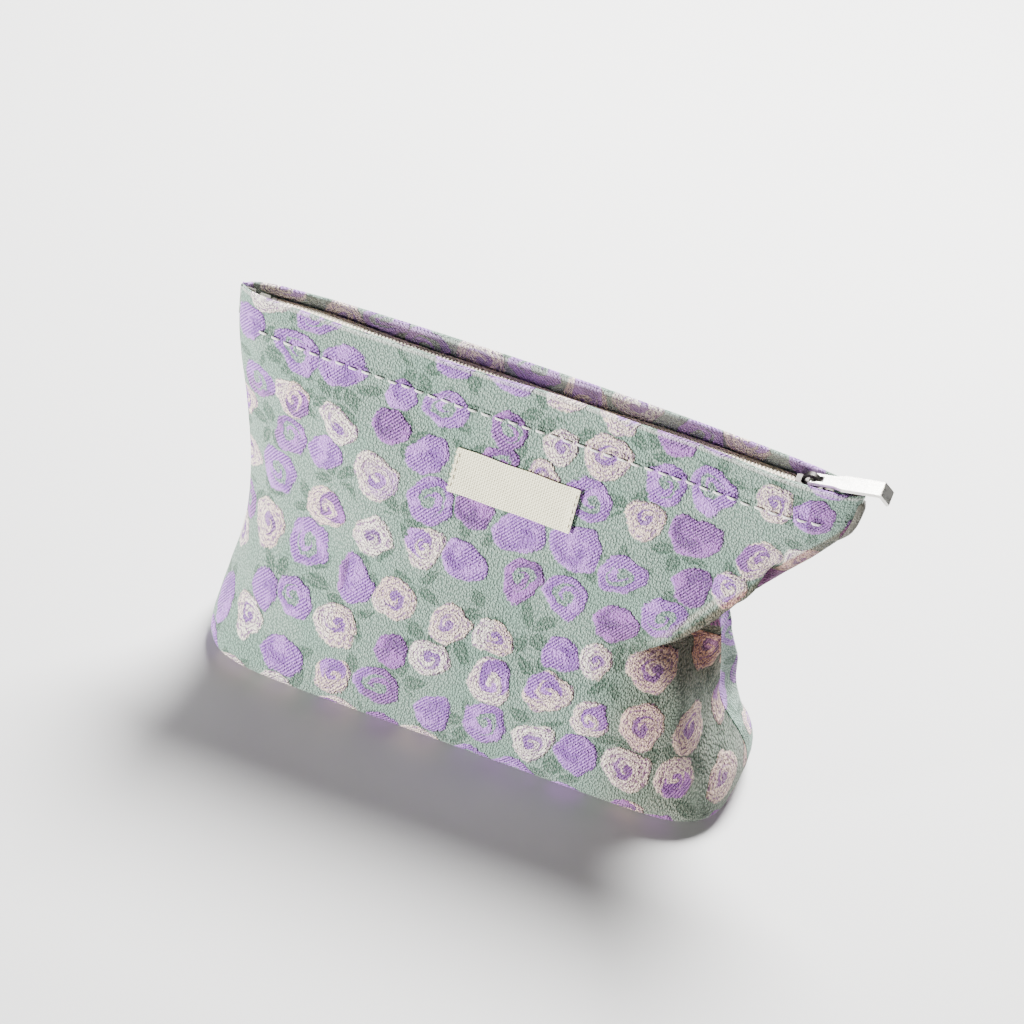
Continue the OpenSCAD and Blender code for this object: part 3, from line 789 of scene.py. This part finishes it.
def tape_rows(xs, face, depth=0.0):
    """Across the tape at each x: from the chain to the hem, then down behind it."""
    z = CHAIN
    u = xs / np.where(xs < 0, wide[-1](z), wide[1](z))
    wall = surface(u, [("wall", z - 2 * MM), ("wall", z), ("wall", z + 2 * MM)], face)[1]
    rim = wall[:, 1] + HEM_IN + depth
    rows = []
    for k in np.linspace(0, 1, 9):
        y = -TAPE_EDGE * (1 - k) + (rim + CURL) * k
        rows.append(np.stack([xs, y, np.full_like(xs, z) + (RISE * k * k) - depth], -1))
    for a in np.linspace(0.3, pi / 2, 4):
        rows.append(np.stack([xs, rim + CURL * (1 - sin(a)),
                              np.full_like(xs, z) + RISE - depth - CURL * (1 - cos(a))], -1))
    for drop in (2.5, 4.5, 7.0):
        rows.append(np.stack([xs, rim - 0.2 * MM, np.full_like(xs, z - drop * MM)], -1))
    return np.array(rows)[::-1]


def tube_faces(rings, around, flip=False):
    """Faces of a tube through rings of points, with a cap at each end."""
    faces = []
    for j in range(rings - 1):
        for i in range(around):
            a, b = j * around + i, j * around + (i + 1) % around
            faces.append((a, a + around, b + around, b) if flip else (a, b, b + around, a + around))
    first, last = tuple(range(around)), tuple(range((rings - 1) * around, rings * around))
    return faces + ([first, last[::-1]] if flip else [first[::-1], last])


def tooth():
    """One loop of the nylon coil, reaching over the middle of the chain."""
    length, w, h, around = 2.3 * MM, 0.52 * MM, 0.75 * MM, 10
    stations = [(-0.5, 0.55), (-0.44, 0.85), (-0.3, 1), (0.1, 1), (0.32, 1), (0.44, 0.8), (0.5, 0.35)]
    vertices = []
    for s, k in stations:
        crown = 1 + 0.12 * cos(pi * s)
        for a in (2 * pi * i / around for i in range(around)):
            vertices.append((w * k * cos(a), s * length, h * k * crown * sin(a)))
    return np.array(vertices), tube_faces(len(stations), around)


def repeated(name, shape, places, material):
    """Copies of one small shape at places, as one mesh. A place is (turn matrix 3x3, position)."""
    vertices, faces = [], []
    points, face = shape
    for turn, at in places:
        faces += [tuple(i + len(vertices) for i in f) for f in face]
        vertices += [tuple(v) for v in points @ np.array(turn).T + np.array(at)]
    return mesh_object(name, vertices, faces, material)


for face, side, word, place in quarters():
    xs = np.sort(side * np.linspace(0, ZIP_END, 80))
    upper = tape_rows(xs, face)
    lower = tape_rows(xs, face, 0.4 * MM)
    tape = sheet_object(f"zip_tape_{face}_{word}", place(upper), place(lower), flat_cloth(upper), TAPE,
                        flip=face != "back")
    mouth_blend(tape)
    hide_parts(f"zip_tape_{face}", "zip_tape_ends")
    # the two rows stand half a pitch apart
    shift = 0.0 if face == "front" else TOOTH_PITCH / 2
    count = int(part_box("zip_teeth_ends")[1].x / TOOTH_PITCH)
    xs = side * (np.arange(count) + 0.25) * TOOTH_PITCH + shift
    mirror = np.diag([1, 1 if face == "front" else -1, 1])
    places = [(mirror, (x, -0.62 * MM * mirror[1, 1], CHAIN + 0.1 * MM)) for x in xs]
    teeth = repeated(f"zip_coil_{face}_{word}", tooth(), places, TEETH)
    mouth_blend(teeth)
    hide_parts(f"zip_teeth_{face}", "zip_teeth_ends")

# ---------------------------------------------------------------- stitches


def dash(length, thick):
    """A stitch of thread: a short arched tube that dips into the cloth at both ends."""
    around, stations = 8, np.linspace(-1, 1, 9)
    vertices = []
    for t in stations:
        k = sqrt(max(0.0, 1 - abs(t) ** 5)) * 0.8 + 0.2
        lift = thick * (0.72 - 0.95 * t**4)
        for a in (2 * pi * i / around for i in range(around)):
            vertices.append((t * length / 2, -lift + thick / 2 * k * cos(a), thick / 2 * k * sin(a)))
    return np.array(vertices), tube_faces(len(stations), around, flip=True)


def turn_to(along, outward):
    """A 3x3 turn with X along a row of stitches and -Y out of the cloth."""
    return np.stack([along, -outward, np.cross(along, -outward)], -1)


STITCH_PITCH = 5.2 * MM
for face, side, word, place in quarters():
    count = int((HALF_TOP - 7 * MM) / STITCH_PITCH)
    wobble = 0.12 * MM * np.sin(np.arange(count) * 2.399)
    xs = side * (np.arange(count) + 0.5) * STITCH_PITCH
    us = np.sort(xs / np.where(xs < 0, wide[-1](STITCH_Z), wide[1](STITCH_Z)))
    band = surface(us, [("wall", STITCH_Z + k * MM) for k in (-1, 0, 1)], face)
    turns = []
    for at, t, n, w in zip(band[1], np.gradient(band[1], axis=0), normals(band)[1], wobble):
        turn = turn_to(t / np.linalg.norm(t), n / np.linalg.norm(n))
        if face == "back":
            flip = np.diag([1, -1, 1])
            turn, at = flip @ turn, flip @ at
        turns.append((turn, at + np.array([0, 0, w])))
    row = repeated(f"topstitch_{face}_{word}", dash(3.8 * MM, 0.95 * MM), turns, THREAD)
    mouth_blend(row)
    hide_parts(f"topstitch_{face}", "topstitch_ends")

# ---------------------------------------------------------------- right seam allowance

zs = np.linspace(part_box("side_seam_right")[0].z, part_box("side_seam_right")[1].z, 90)
seam_edge = surface(np.array([0.97, 0.99, 1.0]), [("wall", z) for z in zs], "front")[:, 2]
strip = []
for p in seam_edge:
    # drawn in with the panels, tucked away over the base, and a raw edge that shows at the top corner
    z = p[2] / MM
    out_mm = -1.6 * (1 - smooth(z, 40, 60)) + 2.1 * smooth(z, 123, 136) * (1 - smooth(z, 145, 149))
    half = 0.35 + 1.9 * smooth(z, 123, 136) * (1 - smooth(z, 146, 149))
    strip.append([(p[0] + (dx + out_mm) * MM, p[1] + 0.4 * MM + dy * half * MM, p[2])
                  for dx, dy in ((-4.5, -1), (-0.9, -1), (-0.5, 0.0), (-0.9, 1), (-4.5, 1))])
seam = mesh_object("seam_allowance_right", [p for row in strip for p in row],
                   tube_faces(len(strip), len(strip[0])), BINDING)
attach(seam, "bag")
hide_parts("side_seam_right")

# ---------------------------------------------------------------- label

LABEL_THICK = 0.55      # mm
lo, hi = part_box("label")
xs = np.linspace(lo.x, hi.x, 49)
zs = np.linspace(lo.z, hi.z, 25)
middle = (lo.z + hi.z) / 2
us = xs / np.where(xs < 0, wide[-1](middle), wide[1](middle))
skin = surface(us, [("wall", z) for z in zs], "front")
skin[..., 0] = xs[None, :]
out = normals(skin)
u, v = np.meshgrid(np.linspace(-1, 1, len(xs)), np.linspace(-1, 1, len(zs)))
# how far it stands off the panel, more at the right end, mm
lift = 0.30 + 0.55 * smooth(u, 0.86, 1.0) + 0.10 * np.sin(u * 9) * np.sin(v * 4)
# the cut left end is a little ragged, and the edges are not ruled straight
ragged = (0.35 * np.sin(v * 31) + 0.25 * np.sin(v * 57 + 1)) * (1 - smooth(u, -1.0, -0.93)) * MM
top = skin + out * ((lift + LABEL_THICK) * MM)[..., None]
under = skin + out * (lift * MM)[..., None]
for sheet_points in (top, under):
    sheet_points[..., 0] += ragged
    sheet_points[..., 2] += 0.15 * MM * np.sin(u * 7) * np.abs(v) ** 3
label = sheet_object("label_patch", top, under, flat_cloth(skin), CANVAS)
mouth_blend(label)
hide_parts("label")

# tacked down with five short stitches near each end
turns = []
for end in (-1, 1):
    x = (lo.x + hi.x) / 2 + end * ((hi.x - lo.x) / 2 - 1.5 * MM)
    column = np.argmin(np.abs(xs - x))
    for k in range(-2, 3):
        row = int(round((k / 6 + 0.5) * (len(zs) - 1)))
        up = skin[row + 1, column] - skin[row - 1, column]
        turns.append((turn_to(up / np.linalg.norm(up), out[row, column]), top[row, column]))
tacks = repeated("label_tacks", dash(2.0 * MM, 0.32 * MM), turns, LABEL_THREAD)
mouth_blend(tacks)
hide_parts("label_stitches")

# ---------------------------------------------------------------- floor, and materials and rounding of CAD parts

g = Graph("floor")
paper = g.mix(g.noise(g.place(), 0.01, 2.0), rgb(206, 206, 206), rgb(203, 203, 204))
corners = [(-3, -3, 0), (3, -3, 0), (3, 3, 0), (-3, 3, 0)]
floor = mesh_object("floor", corners, [(0, 1, 2, 3)], g.finish(paper, Roughness=0.8))

NODE_LOOKS = {
    DARK_METAL: ("slider_body", "slider_bridge", "zip_top_stops", "zip_bottom_stop"),
    BRIGHT_METAL: ("pull_tab",),
    BINDING: ("side_seam_left", "zip_end_tab_left"),
    SEAM_CLOTH: ("zip_end_tab_right",),
}
for material, nodes in NODE_LOOKS.items():
    for n in nodes:
        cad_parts[n].data.materials.clear()
        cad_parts[n].data.materials.append(material)

ROUNDED = {"slider_body": 0.3, "slider_bridge": 0.35, "pull_tab": 0.34, "zip_bottom_stop": 0.3}    # mm
for n, width in ROUNDED.items():
    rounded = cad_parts[n].modifiers.new("rounded", "BEVEL")
    rounded.width = width * MM
    rounded.segments = 3
    rounded.limit_method = "ANGLE"
    rounded.harden_normals = False
